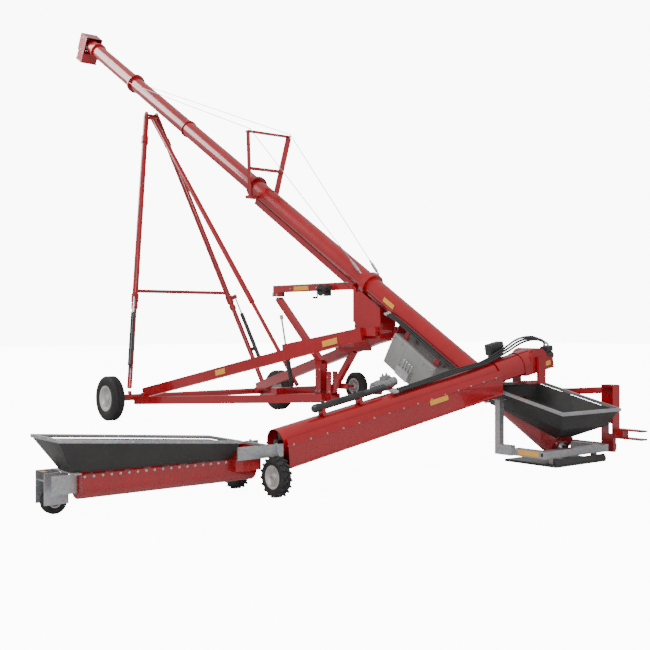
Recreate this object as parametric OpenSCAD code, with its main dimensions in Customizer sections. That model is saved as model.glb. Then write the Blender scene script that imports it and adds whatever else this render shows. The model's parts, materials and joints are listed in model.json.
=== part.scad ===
// Swing-away grain auger: a long inclined main auger on a two-wheel A-frame
// undercarriage, with a swing auger at the boot that carries a low mover hopper.
// X runs from the boot to the discharge head, Y towards the mover hopper, Z up.
// The origin is on the underside of the boot skid, below the main auger's axis.

/* [Main auger] */
// Outer radius of the main tube
tube_r = 127; // [110:1:135]
// Wall of the main tube
tube_wall = 4; // [3:1:6]
// Slope of the main auger in degrees
tube_angle = 31; // [30:0.5:31]
// Height of the main axis above the ground at X = 0
tube_z = 330; // [325:1:340]
// Plan distance from the origin to the upper end of the tube
head_x = 10950; // [10800:10:11100]
// Pitch of the main flighting
main_pitch = 300; // [250:10:400]

/* [Swing auger] */
// Plan position of the swing auger's axis along X
swing_x = 150; // [140:1:160]
// Height of the swing auger's axis above the swing pivot
swing_z = 1075; // [1070:1:1090]
// Fall of the swing auger towards the mover, in degrees
swing_angle = 10.5; // [10:0.1:11]
// Outer radius of the swing tube
swing_r = 125; // [110:1:128]
// Length of the swing tube past the pivot
swing_len = 3560; // [3500:10:3600]

/* [Mover hopper] */
// Outer end of the hopper along Y
hopper_end = 5660; // [5600:10:5700]
// Inner end of the hopper along Y
hopper_start = 4050; // [4000:10:4080]
// Width of the hopper at its rim
hopper_w = 490; // [440:10:500]
// Radius of the drive tyres
drive_r = 178; // [170:1:180]

/* [Undercarriage] */
// Radius of the transport tyres
wheel_r = 345; // [335:1:350]
// Distance from the main axis to the middle of each transport tyre
track_half = 1620; // [1600:10:1700]
// Plan position of the axle along X
axle_x = 7040; // [7000:10:7080]
// Plan position of the apex of the legs along X
apex_x = 8650; // [8600:10:8700]

/* [Hidden] */

red = [0.62, 0.06, 0.08];
steel = [0.72, 0.73, 0.74];
black = [0.08, 0.08, 0.085];
fine = 64;          // sides of the large round parts
gap = 1.5;          // clearance between pieces that are bolted or welded up
tube_start = 490;   // distance along the axis where the round tube begins
tube_end = head_x / cos(tube_angle);
boot_low = -330;    // distance along the axis of the boot's lower end
boot_half = 150;    // half width of the boot
boot_top = 110;     // local height of the boot's open top
arm_h = 150;        // depth of the box-section arms
axle_z = wheel_r;
apex_z = tube_z + apex_x * tan(tube_angle) - 330;
yoke_x = 2520;
yoke_z = 1400;
foot_y = 1285;      // half spread of the leg feet
leg_r = 48;
rim_fall = atan(250 / 1080);

// Height of the main axis at a plan distance
function axis_z(x) = tube_z + x * tan(tube_angle);
// Plan position and height of a point at t along the main axis and h above it
function boot_point(t, h) = [t * cos(tube_angle) - h * sin(tube_angle),
                             tube_z + t * sin(tube_angle) + h * cos(tube_angle)];
function unit(v) = v / norm(v);

// Places children at t along the main axis, with +X along the axis
module on_tube(t) translate([0, 0, tube_z]) rotate([0, -tube_angle, 0]) translate([t, 0, 0]) children();
// Places children at s along the swing axis, with +Y along the axis
module on_swing(s) translate([swing_x, 0, swing_z]) rotate([-swing_angle, 0, 0]) translate([0, s, 0]) children();
// Cylinder lying along +X
module rod_x(r, h, x = 0) translate([x, 0, 0]) rotate([0, 90, 0]) cylinder(r = r, h = h, $fn = fine);
// Cylinder lying along +Y
module rod_y(r, h, y = 0) translate([0, y, 0]) rotate([-90, 0, 0]) cylinder(r = r, h = h, $fn = fine);
// Turns +Z to point from a to b, starting at a
module aim(a, b) {
    d = b - a;
    translate(a) rotate([0, acos(d[2] / norm(d)), atan2(d[1], d[0])]) children();
}
// Round bar between two points
module rod(a, b, r) aim(a, b) cylinder(r = r, h = norm(b - a), $fn = fine);
// Rectangular bar between two points: w across, h deep
module bar(a, b, w, h) aim(a, b) translate([-h / 2, -w / 2, 0]) cube([h, w, norm(b - a)]);
// Tube bore to keep clear around the main tube
module tube_clear(r = tube_r + gap) on_tube(-600) rod_x(r, tube_end + 900);

// Helical flight along +Z: radii, pitch, number of turns, steps per turn
module flight(r_in, r_out, pitch, turns, steps) {
    n = floor(turns * steps);
    inner = r_in / cos(180 / steps) + 0.5;
    points = [for (i = [0:n]) let (a = 360 * i / steps, z = pitch * i / steps)
        each [[inner * cos(a), inner * sin(a), z], [r_out * cos(a), r_out * sin(a), z],
              [r_out * cos(a), r_out * sin(a), z + 5], [inner * cos(a), inner * sin(a), z + 5]]];
    sides = [for (i = [0:n - 1], k = [0:3]) let (p = 4 * i + k, q = 4 * i + (k + 1) % 4)
        each [[p, q, q + 4], [p, q + 4, p + 4]]];
    ends = [[0, 3, 2], [0, 2, 1], [4 * n, 4 * n + 1, 4 * n + 2], [4 * n, 4 * n + 2, 4 * n + 3]];
    polyhedron(points = points, faces = concat(sides, ends));
}

// Point on a smooth curve through the listed points, at parameter s
function spline(p, s) = let (
    i = min(floor(s), len(p) - 2), f = s - i,
    p0 = p[max(i - 1, 0)], p1 = p[i], p2 = p[i + 1], p3 = p[min(i + 2, len(p) - 1)])
    0.5 * (2 * p1 + (p2 - p0) * f + (2 * p0 - 5 * p1 + 4 * p2 - p3) * f * f
           + (3 * p1 - p0 - 3 * p2 + p3) * f * f * f);

// Hose of radius r along a smooth curve through the listed points
module hose(p, r, per = 4, sides = 8) {
    n = (len(p) - 1) * per;
    c = [for (i = [0:n]) spline(p, i / per)];
    rings = [for (i = [0:n]) let (
        d = unit(c[min(i + 1, n)] - c[max(i - 1, 0)]),
        u = unit(cross(d, [0.13, 0.21, 0.97])), v = cross(d, u))
        for (k = [0:sides - 1]) c[i] + r * (cos(360 * k / sides) * u + sin(360 * k / sides) * v)];
    wall = [for (i = [0:n - 1], k = [0:sides - 1]) let (
        a = i * sides + k, b = i * sides + (k + 1) % sides)
        each [[a, b, b + sides], [a, b + sides, a + sides]]];
    caps = [[for (k = [sides - 1:-1:0]) k], [for (k = [0:sides - 1]) n * sides + k]];
    polyhedron(points = rings, faces = [for (f = concat(wall, caps)) [for (k = [len(f) - 1:-1:0]) f[k]]]);
}

// ---- Main auger ----

// Rolled steel tube with open ends
module main_tube() color(red) on_tube(tube_start) difference() {
    rod_x(tube_r, tube_end - tube_start);
    rod_x(tube_r - tube_wall, tube_end - tube_start + 2, -1);
}

// Bolted flanges and clamp rings around the tube
module tube_bands() color(red) {
    for (b = [[10700, 34, 34], [9200, 50, 42], [7370, 22, 18], [5390, 40, 44], [2760, 90, 40], [640, 30, 36]])
        on_tube(b[0] / cos(tube_angle)) difference() {
            rod_x(tube_r + b[2], b[1]);
            rod_x(tube_r + 0.5, b[1] + 2, -1);
        }
}

// Square housing at the upper end with a spout that points straight down
module discharge_head() color(red) {
    on_tube(tube_end + gap) difference() {
        translate([0, -165, -165]) cube([300, 330, 330]);
        translate([-1, -159, -159]) cube([295, 318, 318]);
        translate([30, -150, -170]) cube([240, 300, 12]);
        rod_x(32, 40, 280);
    }
    on_tube(tube_end + gap) translate([0, 0, -166 - 170]) difference() {
        translate([24, -156, 0]) cube([252, 312, 169]);
        translate([30, -150, -1]) cube([240, 300, 171]);
    }
}

// Flanged bearing on the head's end plate
module head_bearing() color(steel) on_tube(tube_end + gap + 301) difference() {
    union() {
        translate([0, -70, -70]) cube([12, 140, 140]);
        rod_x(55, 45);
        for (y = [-52, 52], z = [-52, 52]) translate([12, y, z]) rod_x(9, 10);
    }
    rod_x(30.1, 60, -5);
}

// Open-topped trough below the intake hopper that feeds the tube
module boot_housing() color(red) difference() {
    on_tube(0) {
        difference() {
            union() {
                translate([boot_low, -boot_half, -20]) cube([tube_start - gap - boot_low, 2 * boot_half, boot_top + 20]);
                rod_x(boot_half, tube_start - gap - boot_low, boot_low);
            }
            translate([boot_low + 8, 6 - boot_half, -20])
                cube([tube_start - boot_low - 30, 2 * boot_half - 12, boot_top + 200]);
            rod_x(boot_half - 6, tube_start - boot_low - 30, boot_low + 8);
            rod_x(tube_r - tube_wall, 60, tube_start - 40);
            translate([boot_low - 1, -200, boot_top]) cube([1000, 400, 200]);
            rod_x(32, 40, boot_low - 10);
        }
    }
}

// Bearing at the lower end of the main shaft
module boot_bearing() color(steel) on_tube(boot_low - 47) difference() {
    union() {
        rod_x(52, 45);
        translate([33, -66, -66]) cube([12, 132, 132]);
    }
    rod_x(30.1, 60, -5);
}

function hopper_low(t) = boot_point(t, boot_top + 5);
// Corner points of the intake funnel, inset by the wall
module funnel(inset, over, under) {
    a = hopper_low(boot_low + 10);
    b = hopper_low(tube_start - 30);
    hull() for (s = [-1, 1]) {
        translate([-680 + inset, s * (480 - inset), 550 + over]) cube(1, center = true);
        translate([400 - inset, s * (480 - inset), 800 + over]) cube(1, center = true);
        translate([a[0] + inset, s * (boot_half - inset), a[1] - under]) cube(1, center = true);
        translate([b[0] - inset, s * (boot_half - inset), b[1] - under]) cube(1, center = true);
    }
}
// Black funnel that takes grain from the swing auger or a truck
module intake_hopper() color(black) difference() {
    funnel(0, 0, 0);
    funnel(7, 2, 3);
}

// Folded steel rim around the funnel's mouth
module intake_rim() color(steel) translate([-680, 0, 550 + 4]) rotate([0, -rim_fall, 0]) difference() {
    translate([-24, -504, 0]) cube([1150, 1008, 30]);
    translate([8, -472, -1]) cube([1086, 944, 32]);
}

// Wear skid that the boot rests on
module boot_skid() color(black) {
    translate([-560, -430, 0]) cube([690, 860, 26]);
    translate([-560, -430, 26]) rotate([0, -60, 0]) cube([60, 860, 10]);
}

// Grey carrying frame between the skid and the boot
module skid_frame() color(steel) difference() {
    union() {
        translate([-500, -560, 90]) cube([90, 1090, 80]);
        translate([-500, 440, 90]) cube([420, 80, 80]);
        translate([-500, -520, 90]) cube([420, 80, 80]);
        for (y = [-380, 330]) translate([-480, y, 26.5]) cube([50, 50, 64]);
    }
    on_tube(boot_low - 60) rod_x(boot_half + gap + 20, 900);
    translate([-470, -560 - 1, 110]) cube([30, 1092, 40]);
}

// Upright plates and arm that carry the towing hitch beside the hopper
module hitch_post() color(red) {
    translate([-440, -860, 250]) cube([16, 130, 560]);
    translate([-300, -860, 250]) cube([16, 130, 560]);
    translate([-424, -860, 780]) cube([124, 130, 30]);
    translate([-424, -860, 380]) cube([124, 130, 20]);
    translate([-424, -800, 400]) cube([124, 14, 380]);
    bar([-284, -790, 745], [120, -640, 715], 80, 70);
    translate([110, -690, 90]) cube([60, 60, 660]);
    translate([-490, -729, 100]) cube([700, 60, 60]);
    translate([-440, -790, 60]) cube([156, 60, 200]);
}

// Clevis tongue with a pin bore for the tow vehicle
module hitch_tongue() color(red) difference() {
    union() {
        translate([-560, -850, 215]) cube([118, 110, 110]);
        for (z = [215, 307]) translate([-800, -850, z]) cube([241, 110, 18]);
    }
    translate([-740, -795, 150]) cylinder(r = 13, h = 250, $fn = fine);
}

// Oil reservoir below the main tube
module hydraulic_tank() color([0.5, 0.5, 0.5]) on_tube(0) {
    translate([1560, -170, -640]) cube([840, 340, 430]);
    translate([1700, 0, -209]) cylinder(r = 45, h = 26, $fn = fine);
}

// Control valve block with its levers
module valve_bank() color(steel) on_tube(0) {
    translate([1850, 172, -600]) cube([230, 70, 120]);
    for (i = [0:3]) translate([1875 + 52 * i, 206, -479]) cylinder(r = 7, h = 90, $fn = 16);
    for (i = [0:3]) translate([1875 + 52 * i, 206, -388]) sphere(r = 14, $fn = 24);
}

// Sloping plates that hang the tank and the rail from the tube
module tank_bracket() color(red) difference() {
    on_tube(0) {
        for (y = [-120, 100]) translate([1600, y, -209]) cube([60, 20, 130]);
        for (y = [-120, 100]) translate([2200, y, -209]) cube([60, 20, 130]);
        translate([2404, -120, -560]) cube([14, 240, 480]);
    }
    tube_clear();
}

// Channel under the tube between the lower yoke and the cable bridge
module track_rail() color(red) on_tube(0) {
    translate([3330, -45, -217]) difference() {
        cube([2850, 90, 88]);
        translate([-1, 8, -1]) cube([2852, 74, 60]);
    }
}

// V-shaped bridge that holds the stay cables away from the tube
module cable_bridge() color(red) difference() {
    union() {
        for (s = [-1, 1]) {
            bar([5250, s * 235, axis_z(5250) - 60], [5100, s * 375, 4330], 46, 76);
            translate([5190, s > 0 ? 100 : -280, axis_z(5250) - 110]) cube([120, 180, 46]);
        }
        translate([5062, -392, 4331]) cube([80, 784, 26]);
        translate([5130, -300, 3790]) cube([60, 600, 40]);
    }
    tube_clear();
}

cable_run = [[9225, 168, axis_z(9225)], [5055, 372, 4372], [2780, 150, axis_z(2780) + 120]];
// Pair of steel cables from the anchor ring over the bridge to the lower collar
module stay_cables() color(steel) for (s = [-1, 1]) {
    p = [for (q = cable_run) [q[0], s * q[1], q[2]]];
    rod(p[0] + 70 * unit(p[1] - p[0]), p[1], 5);
    translate(p[1]) sphere(r = 9, $fn = 24);
    rod(p[1], p[2] + 330 * unit(p[1] - p[2]), 5);
}

// Threaded tensioners at the lower ends of the cables
module turnbuckles() color(steel) for (s = [-1, 1]) {
    p = [for (q = cable_run) [q[0], s * q[1], q[2]]];
    up = unit(p[1] - p[2]);
    rod(p[2] + 45 * up, p[2] + 328 * up, 12);
    rod(p[2] + 110 * up, p[2] + 260 * up, 20);
}

// Collar plates, pivot pin and upright below the tube's lower clamp
module lower_yoke() color(red) difference() {
    union() {
        for (y = [-138, 122]) translate([2470, y, 1300]) cube([500, 16, 620]);
        translate([2900, -121, 1500]) cube([70, 242, 80]);
        translate([yoke_x, 0, yoke_z]) rod_y(24, 440, -220);
        for (y = [-121, 85]) translate([2960, y, 1520]) cube([60, 36, 500]);
    }
    tube_clear(tube_r + 42);
}

// Horizontal boom from the tube to the service tower
module lift_boom() color(red) difference() {
    union() {
        translate([3030, -45, 1960]) cube([1900, 90, 90]);
        translate([3022, -130, 1960]) cube([60, 260, 60]);
        translate([4780, -60, 1900]) cube([150, 16, 60]);
        translate([4780, 44, 1900]) cube([150, 16, 60]);
    }
    tube_clear(tube_r + 3);
    on_tube(3170) translate([0, -50, -222]) cube([3020, 100, 100]);
}

// Hand winch on the boom
module winch() color(black) {
    translate([3560, 46.5, 1905]) cube([160, 14, 120]);
    translate([3640, 60.5, 1960]) rod_y(70, 120);
    translate([3640, 180.5, 1960]) rod_y(14, 60);
    translate([3632, 225, 1840]) cube([16, 16, 108]);
    translate([3640, 241, 1850]) rod_y(13, 70);
}

// Hoses clipped along the side of the tube
module tube_hoses() color(black) for (k = [0:2]) on_tube(0)
    hose([[2650, 132 + 30 * k, -60 - 12 * k], [2350, 150 + 22 * k, -30 - 12 * k],
          [1800, 152 + 20 * k, -24 - 20 * k], [1300, 152 + 20 * k, -24 - 20 * k],
          [900, 182 + 26 * k, -10 - 20 * k], [620, 200 + 28 * k, -10 - 20 * k]], 12, 4);

// Grey post beside the boot that braces the swing pivot
module swing_post() color(steel) {
    translate([80, 500, 200]) cube([70, 70, 470]);
    translate([60, 480, 670.5]) cube([110, 110, 10]);
    translate([-78, 500, 90]) cube([228, 70, 109]);
}

// Main screw: helical flighting on a pipe with slimmer bearing journals
module main_screw() color(steel) {
    on_tube(boot_low + 20) rotate([0, 90, 0])
        flight(38, tube_r - tube_wall - 13, main_pitch, (tube_end - boot_low + 150) / main_pitch, 12);
    on_tube(0) {
        rod_x(38, tube_end - boot_low + 210, boot_low + 14);
        rod_x(30, tube_end - boot_low + 380, boot_low - 44);
    }
}

// ---- A-frame legs ----

apex = [apex_x, 0, apex_z];
function foot(s) = [axle_x + 10, s * foot_y, axle_z + 130];
function leg_dir(s) = unit(foot(s) - [apex_x, s * 100, apex_z]);
function leg_at(s, d) = [apex_x, s * 100, apex_z] + d * leg_dir(s);
collar_d = 460;     // distance down the leg of the upper collar
bracket_d = 3560;   // distance down the leg of the cylinder bracket
leg_end = 3640;     // distance down the leg where the upper leg ends

// Upper leg with its collars and the cylinder bracket; side s is 1 or -1
module leg(s) color(red) difference() {
    union() {
        rod(leg_at(s, 20), leg_at(s, leg_end), leg_r);
        rod(leg_at(s, collar_d), leg_at(s, collar_d + 130), leg_r + 14);
        rod(leg_at(s, bracket_d - 70), leg_at(s, bracket_d + 60), leg_r + 12);
        aim(leg_at(s, bracket_d - 50), leg_at(s, bracket_d + 60))
            translate([-20 - leg_r - 75, -20, 0]) cube([90, 40, 70]);
        translate([apex_x, s * 100 - 12, apex_z]) rod_y(60, 24);
    }
    rod(leg_at(s, 1400), leg_at(s, leg_end + 10), leg_r - 6);
    translate([apex_x, 0, apex_z]) rod_y(22.1, 400, -200);
    translate([apex_x, s > 0 ? -200 : -88 , apex_z]) translate([-90, 0, -90]) cube([180, 288, 180]);
}
module leg_left() leg(1);
module leg_right() leg(-1);

// Pipe that ties the two upper legs
module leg_crossbar() color(red) difference() {
    rod(leg_at(1, 3430), leg_at(-1, 3430), 28);
    for (s = [-1, 1]) rod(leg_at(s, 3200), leg_at(s, 3600), leg_r + 0.5);
}

strut_top = [apex_x - 60, 0, apex_z - 75];
strut_foot = [4395, 0, 612];
// Telescoping centre strut from the apex to the lower frame's cross beam, with the apex pin
module centre_strut() color(red) {
    rod(strut_top, strut_top + 0.73 * (strut_foot - strut_top), 42);
    rod(strut_top + 0.7 * (strut_foot - strut_top), strut_foot, 30);
    translate([apex_x, 0, apex_z]) rod_y(22, 250, -125);
    translate([apex_x - 60, -60, apex_z - 70]) cube([90, 120, 40]);
}

rod_off = 62 + leg_r;   // distance from the leg's axis to the cylinder's axis
module beside_leg(s, d) aim(leg_at(s, d), leg_at(s, d + 100)) translate([-rod_off, 0, 0]) children();
// Chromed rods of the two lift cylinders
module lift_rods() color(steel) for (s = [-1, 1])
    beside_leg(s, bracket_d + 25) cylinder(r = 14, h = 520, $fn = fine);

// Lower leg, a slimmer tube that slides inside the upper one
module lower_leg(s) color(red) difference() {
    union() {
        rod(leg_at(s, 2300), leg_at(s, norm(foot(s) - [apex_x, s * 100, apex_z]) - 20), leg_r - 8);
        rod(leg_at(s, leg_end + 20), leg_at(s, leg_end + 100), leg_r + 6);
    }
}
module lower_leg_left() lower_leg(1);
module lower_leg_right() lower_leg(-1);

// Barrel of a lift cylinder, clamped to the lower leg
module lift_barrel(s) color(black) difference() {
    beside_leg(s, bracket_d + 300) {
        cylinder(r = 34, h = 900, $fn = fine);
        translate([10, -20, 620]) cube([rod_off - leg_r - 4, 40, 60]);
    }
    beside_leg(s, bracket_d + 290) cylinder(r = 16, h = 800, $fn = fine);
}
module lift_barrel_left() lift_barrel(1);
module lift_barrel_right() lift_barrel(-1);

// ---- Lower frame ----

arm_y = 1090;       // half spread of the arms at the axle
// Box-section arm from the axle to the yoke pin; side s
module arm(s) color(red) difference() {
    union() {
        bar([axle_x - 120, s * arm_y, axle_z + 70], [2700, s * 225, yoke_z - 40], 80, arm_h);
        bar([4050, s * (225 + 258), yoke_z - 277], [2700, s * 225, yoke_z - 40], 96, arm_h + 24);
        translate([yoke_x, s * 195, yoke_z]) rod_y(60, 50, -25);
        translate([yoke_x, s > 0 ? 170 : -220, yoke_z - 60]) cube([190, 50, 110]);
        translate([axle_x - 190, s > 0 ? arm_y - 40 : -arm_y - 40, axle_z - 30]) cube([120, 80, 100]);
    }
    translate([yoke_x, 0, yoke_z]) rod_y(24.1, 600, -300);
    translate([axle_x, 0, axle_z]) rod_y(52, 4000, -2000);
}
module arm_left() arm(1);
module arm_right() arm(-1);

// Level beam from the axle to the service tower; side s
module base_beam(s) color(red) difference() {
    bar([axle_x - 60, s * 1215, axle_z - 50], [3640, s * 130, 470], 76, 116);
    translate([axle_x, 0, axle_z]) rod_y(52, 4000, -2000);
    translate([axle_x - 220, s > 0 ? arm_y - 60 : -arm_y - 60, axle_z - 60]) cube([300, 120, 180]);
}
module base_beam_left() base_beam(1);
module base_beam_right() base_beam(-1);

// Cross axle with stub spindles
module axle() color(red) {
    translate([axle_x, 0, axle_z]) rod_y(50, 2 * track_half - 300, 150 - track_half);
    translate([axle_x, 0, axle_z]) rod_y(24, 2 * track_half + 150, -75 - track_half);
    for (s = [-1, 1]) translate([axle_x - 40, s * foot_y - 14, axle_z + 51]) cube([80, 28, 50]);
}

// Upright plates and sloping brace at the front of the lower frame
module tower_plates() color(red) {
    for (y = [-62, 46]) translate([3780, y, 420]) cube([120, 16, 560]);
    for (y = [-62, 46]) translate([3560, y, 420]) cube([90, 16, 420]);
    translate([3560, -45, 420]) cube([340, 90, 90]);
    translate([3380, 0, 640]) rod_y(20, 250, -315);
    translate([3340, -66, 600]) cube([260, 16, 80]);
    bar([3640, 0, 512], [3130, 0, 1130], 70, 80);
    translate([3060, -250, 1130]) cube([100, 500, 60]);
    translate([4330, -420, 494]) cube([130, 840, 92]);
}

// Inclined post that carries the boom's free end
module tower_strut() color(red) difference() {
    union() {
        bar([3840, 0, 960], [4850, 0, 1880], 84, 84);
        translate([3790, -44, 560]) cube([100, 88, 380]);
    }
    translate([4700, -70, 1890]) cube([400, 140, 200]);
}

// Hydraulic cylinder between the inclined post and the level beams
module centre_cylinder() {
    color(black) rod([4432, 66, 597], [4590, 66, 1200], 32);
    color(steel) rod([4590, 66, 1200], [4690, 66, 1600], 14);
    color(red) translate([4690, 20, 1600]) rotate([0, 45, 0]) translate([-30, 23, -30]) cube([60, 46, 60]);
}

// Tyre and rim outline turned about Y: radius, half width, rim radius, hub bore
module tyre_and_rim(r, half, rim_r, bore) {
    color(black) rotate([-90, 0, 0]) rotate_extrude($fn = 72) difference() {
        union() {
            translate([rim_r, -half + 14]) square([r - rim_r - 22, 2 * half - 28]);
            translate([rim_r + 10, -half]) square([r - rim_r - 52, 2 * half]);
            translate([rim_r + 10, -half + 34]) square([r - rim_r - 10, 2 * half - 68]);
        }
        translate([rim_r - 1, -half + 30]) square([18, 2 * half - 60]);
    }
    color(steel) rotate([-90, 0, 0]) rotate_extrude($fn = 72) {
        translate([rim_r - 9, -half + 16]) square([8, 2 * half - 32]);
        translate([bore + 0.1, -6]) square([rim_r - 9 - bore, 12]);
        translate([bore + 0.1, -half + 30]) square([34, 2 * half - 60]);
    }
}

// Transport wheels turn on the axle's spindles
module wheel_left() translate([axle_x, track_half, axle_z]) tyre_and_rim(wheel_r, 98, 190, 24);
module wheel_right() translate([axle_x, -track_half, axle_z]) tyre_and_rim(wheel_r, 98, 190, 24);

// Small parking wheel carried clear of the ground at the front of the frame
module jack_wheel() {
    translate([3380, -250, 640]) tyre_and_rim(190, 60, 100, 20);
}

// ---- Swing auger ----

// Turntable and spout over the intake hopper
module swing_table() color(red) difference() {
    union() {
        translate([swing_x, 0, 830]) cylinder(r = 150, h = 22, $fn = fine);
        for (x = [-188, 158]) translate([swing_x + x, -60, 838]) cube([30, 120, 290]);
        translate([swing_x - 188, -60, 838]) cube([376, 120, 14]);
    }
    translate([swing_x, 0, 800]) cylinder(r = 110, h = 80, $fn = fine);
}

// Tube of the swing auger
module swing_tube() color(red) on_swing(0) difference() {
    rod_y(swing_r, swing_len - 250, 250);
    rod_y(swing_r - 4, swing_len, 240);
}

// Folded box beam below the swing tube, with ribbed side plates
module swing_beam() color(red) on_swing(0) difference() {
    rotate([-90, 0, 0]) translate([0, 0, 640]) linear_extrude(swing_len - 660)
        polygon([[-150, -40], [-162, 10], [-135, 232], [135, 232], [162, 10], [150, -40]]);
    rotate([-90, 0, 0]) translate([0, 0, 630]) linear_extrude(swing_len)
        polygon([[-144, -50], [-156, 10], [-129, 226], [129, 226], [156, 10], [144, -50]]);
}

// Rounded discharge housing at the upper end
module swing_hood() color(red) on_swing(0) {
    difference() {
        union() {
            rod_y(148, 200, 48);
            translate([-148, -240, -110]) cube([296, 488, 110]);
            rod_x(150, 296, -148);
            translate([-148, -240, -110]) cube([296, 240, 120]);
        }
        rod_y(swing_r - 4, 500, -100);
        translate([-142, -234, -200]) cube([284, 430, 200]);
        rod_x(144, 284, -142);
        translate([-400, -300, -400]) cube([800, 700, 290]);
        rod_y(30.2, 300, -300);
    }
}

// Hydraulic motor that turns the swing screw
module swing_motor() color(black) on_swing(0) {
    rod_y(58, 150, -395);
    translate([-70, -244, -20]) cube([140, 3, 90]);
    translate([-50, -382, 59]) cube([100, 110, 50]);
}

// Cylinder with a bellows that folds the mover hopper
module fold_cylinder() {
    color(black) on_swing(0) {
        translate([-40, 2500, 205]) rod_y(34, 620);
        translate([-40, 2210, 205]) rod_y(24, 289);
        for (i = [0:10]) translate([-40, 2240 + 24 * i, 205]) rod_y(33, 10);
    }
    color(steel) on_swing(0) translate([90, 1950, 205]) rod_y(58, 330);
    color(red) on_swing(0) {
        translate([-70, 2540, 126.5]) cube([60, 40, 50]);
        translate([-70, 3000, 126.5]) cube([60, 40, 50]);
        translate([60, 2020, 126.5]) cube([60, 40, 24]);
        translate([60, 2180, 126.5]) cube([60, 40, 24]);
    }
}

// Hoses that run along the top of the swing auger
module swing_hoses() color(black) on_swing(0) for (k = [0:2])
    hose([[-95 + 26 * k, 2150, 140 + 8 * k], [-85 + 26 * k, 1750, 136 + 8 * k],
          [-95 + 26 * k, 1250, 150 + 10 * k], [-75 + 26 * k, 800, 140 + 10 * k],
          [-60 + 26 * k, 420, 190 + 16 * k], [-30 + 26 * k, 120, 235 + 20 * k],
          [-30 + 26 * k, -120, 225 + 16 * k], [-30 + 26 * k, -300, 150 + 14 * k]], 12, 4);

// Flighting and pipe of the swing screw
module swing_flighting() color(steel) on_swing(0) {
    rotate([-90, 0, 0]) translate([0, 0, -60]) flight(30.5, swing_r - 11, 260, (swing_len + 30) / 260, 12);
    rod_y(30, swing_len + 240, -240);
}

// ---- Mover hopper ----

trough_z = 235;     // height of the hopper screw's axis
trough_half = 105;
seam_z = 330;       // height of the seam between trough and hopper
wheel_x = 310;      // offset of each drive wheel from the swing plane
// U-shaped trough below the hopper and its raised inner housing
module hopper_trough() color(red) difference() {
    union() {
        translate([swing_x - trough_half, 3780, 232]) cube([2 * trough_half, hopper_end - 4030, seam_z - 232]);
        translate([swing_x, 0, trough_z]) rod_y(trough_half, hopper_end - 4030, 3780);
        translate([swing_x - 170, 3780, 232]) cube([340, 262, 200]);
    }
    translate([swing_x, 0, trough_z]) rod_y(trough_half - 6, hopper_end - 4042, 3786);
    translate([swing_x - trough_half + 6, 3786, trough_z]) cube([2 * trough_half - 12, hopper_end - 4042, 300]);
    translate([swing_x - 164, 3786, 240]) cube([328, 250, 186]);
    translate([swing_x, 0, trough_z]) rod_y(21, 400, hopper_end - 300);
    translate([swing_x, 0, trough_z]) rod_y(21, 60, 3750);
    translate([swing_x - 80, 3770, 340]) cube([160, 30, 70]);
    translate([swing_x - 200, 4043, seam_z]) cube([400, 2000, 100]);
}

module mover_funnel(inset, over, under) hull() for (s = [-1, 1]) {
    translate([swing_x + s * (hopper_w / 2 - inset), hopper_end - inset, 600 + over]) cube(1, center = true);
    translate([swing_x + s * (hopper_w / 2 - inset), hopper_start + inset, 478 + over]) cube(1, center = true);
    translate([swing_x + s * (trough_half - inset), hopper_end - 270 - inset, seam_z + 2 - under]) cube(1, center = true);
    translate([swing_x + s * (trough_half - inset), hopper_start + inset, seam_z + 2 - under]) cube(1, center = true);
}
// Low black hopper on the mover with its steel rim
module mover_hopper() {
    color(black) difference() {
        mover_funnel(0, 0, 0);
        mover_funnel(7, 3, 3);
    }
    color(steel) translate([swing_x, hopper_start, 482]) rotate([atan(122 / (hopper_end - hopper_start)), 0, 0])
        difference() {
            translate([-hopper_w / 2 - 16, -10, 0]) cube([hopper_w + 32, hopper_end - hopper_start + 25, 28]);
            translate([-hopper_w / 2 + 8, 8, -1]) cube([hopper_w - 16, hopper_end - hopper_start - 12, 30]);
        }
}

drive_y = 3720;
caster_r = 105;     // radius of the outer caster
// Grey frame with the hinge plates, wheel legs and the outer caster bracket
module mover_frame() color(steel) {
    for (s = [-1, 1]) {
        translate([swing_x + s * 190 - 8, 3560, 330]) cube([16, 482, 110]);
        bar([swing_x + s * 175, 3638, 440], [swing_x + s * wheel_x, 3638, drive_r - 30], 16, 60);
        translate([swing_x + s * wheel_x, 0, drive_r]) rod_y(15, 145, 3630);
    }
    translate([swing_x - 180, 3640, 390]) cube([360, 60, 40]);
    translate([swing_x - 24, hopper_end - 240, 180]) cube([12, 200, 150]);
    translate([swing_x - 120, hopper_end - 236, 335]) cube([400, 60, 10]);
    translate([swing_x + 110, hopper_end - 236, 85]) cube([12, 200, 250]);
    translate([swing_x + 270, hopper_end - 236, 85]) cube([12, 200, 260]);
    translate([swing_x + 110, hopper_end - 110, 265]) cube([172, 60, 12]);
}

// Flighting and pipe of the hopper screw
module hopper_flighting() color(steel) translate([swing_x, 0, trough_z]) {
    rotate([-90, 0, 0]) translate([0, 0, 3800]) flight(20.5, trough_half - 14, 170, (hopper_end - 4100) / 170, 12);
    rod_y(20, hopper_end - 4010, 3765);
}

// Lugged drive wheels in tandem, each on its own spindle
module drive_wheel_near() translate([swing_x - wheel_x, drive_y, drive_r]) tyre_and_rim(drive_r, 52, 96, 15);
module drive_wheel_far() translate([swing_x + wheel_x, drive_y, drive_r]) tyre_and_rim(drive_r, 52, 96, 15);

// Small wheel under the outer end of the hopper
module caster_wheel() translate([swing_x + 196, hopper_end - 150, caster_r]) rotate([0, 0, 90]) {
    tyre_and_rim(caster_r, 38, 50, 10);
    color(steel) rod_y(10, 142, -71);
}

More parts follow.
